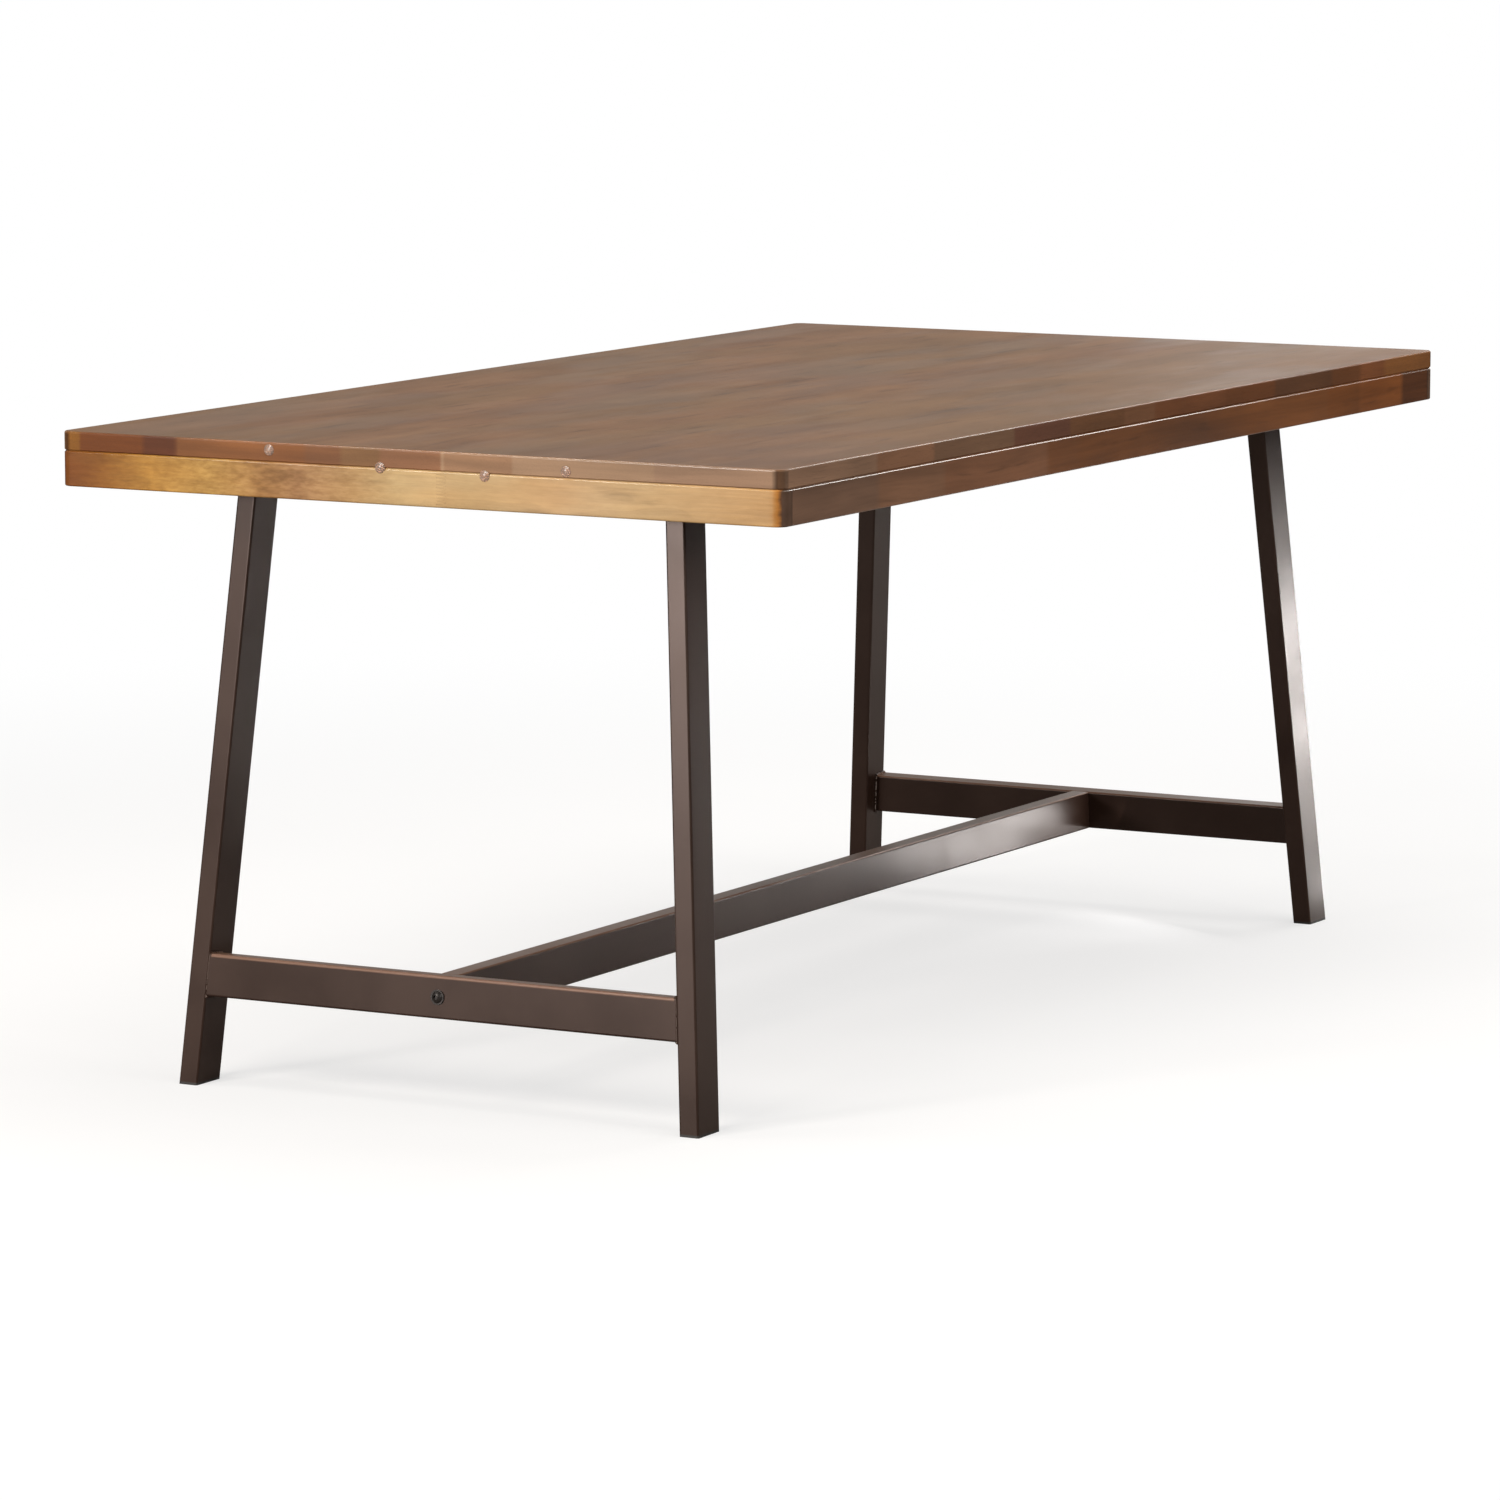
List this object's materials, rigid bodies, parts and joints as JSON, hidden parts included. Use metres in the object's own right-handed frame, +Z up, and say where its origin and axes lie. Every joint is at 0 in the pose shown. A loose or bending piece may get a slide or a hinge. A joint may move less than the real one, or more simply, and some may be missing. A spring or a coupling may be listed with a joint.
{
  "type": "table",
  "caption": "Long rectangular table with a thick glued-stave wooden top and built-up edge, on splayed rectangular-tube steel legs joined by low crossbars and a stretcher.",
  "frame": {"origin": "on the floor, under the middle of the tabletop", "axes": "+X along the length of the table towards its rear end, +Z up, +Y across it to the left"},
  "size_m": [1.8022, 0.95, 0.762],
  "materials": {
    "stained_wood": "brown stain under satin clear lacquer, grain along the boards",
    "honey_wood": "light honey wood under satin clear lacquer, grain along the boards",
    "bronze_paint": "dark bronze-brown satin powder coat",
    "black_steel": "black oxide, slightly oiled",
    "zinc_steel": "bright zinc plate",
    "insert_brass": "plain turned brass",
    "black_plastic": "moulded black polyethylene",
    "clear_plastic": "clear soft polyurethane dome"
  },
  "bodies": {
    "root": {"stave_01": "stained_wood", "stave_02": "stained_wood", "stave_03": "stained_wood", "stave_04": "stained_wood", "stave_05": "stained_wood", "stave_06": "stained_wood", "stave_07": "stained_wood", "stave_08": "stained_wood", "stave_09": "stained_wood", "stave_10": "stained_wood", "stave_11": "stained_wood", "stave_12": "stained_wood", "stave_13": "stained_wood", "stave_14": "stained_wood", "stave_15": "stained_wood", "stave_16": "stained_wood", "stave_17": "stained_wood", "stave_18": "stained_wood", "stave_19": "stained_wood", "stave_20": "stained_wood", "stave_21": "stained_wood", "band_left": "stained_wood", "band_right": "stained_wood", "band_front_long_block": "honey_wood", "band_front_short_block": "honey_wood", "band_rear": "honey_wood", "crossbar_front": "bronze_paint", "top_rail_front": "bronze_paint", "nut_plate_front": "zinc_steel", "stretcher_bolt_front": "black_steel", "bolt_washer_front": "black_steel", "leg_front_left": "bronze_paint", "foot_cap_front_left": "black_plastic", "leg_front_right": "bronze_paint", "foot_cap_front_right": "black_plastic", "crossbar_rear": "bronze_paint", "top_rail_rear": "bronze_paint", "nut_plate_rear": "zinc_steel", "stretcher_bolt_rear": "black_steel", "bolt_washer_rear": "black_steel", "leg_rear_left": "bronze_paint", "foot_cap_rear_left": "black_plastic", "leg_rear_right": "bronze_paint", "foot_cap_rear_right": "black_plastic", "stretcher": "bronze_paint", "mounting_screws": "zinc_steel", "screw_washers": "zinc_steel", "threaded_inserts": "insert_brass", "edge_bumper_1": "clear_plastic", "edge_bumper_2": "clear_plastic", "edge_bumper_3": "clear_plastic", "edge_bumper_4": "clear_plastic"}
  },
  "joints": []
}
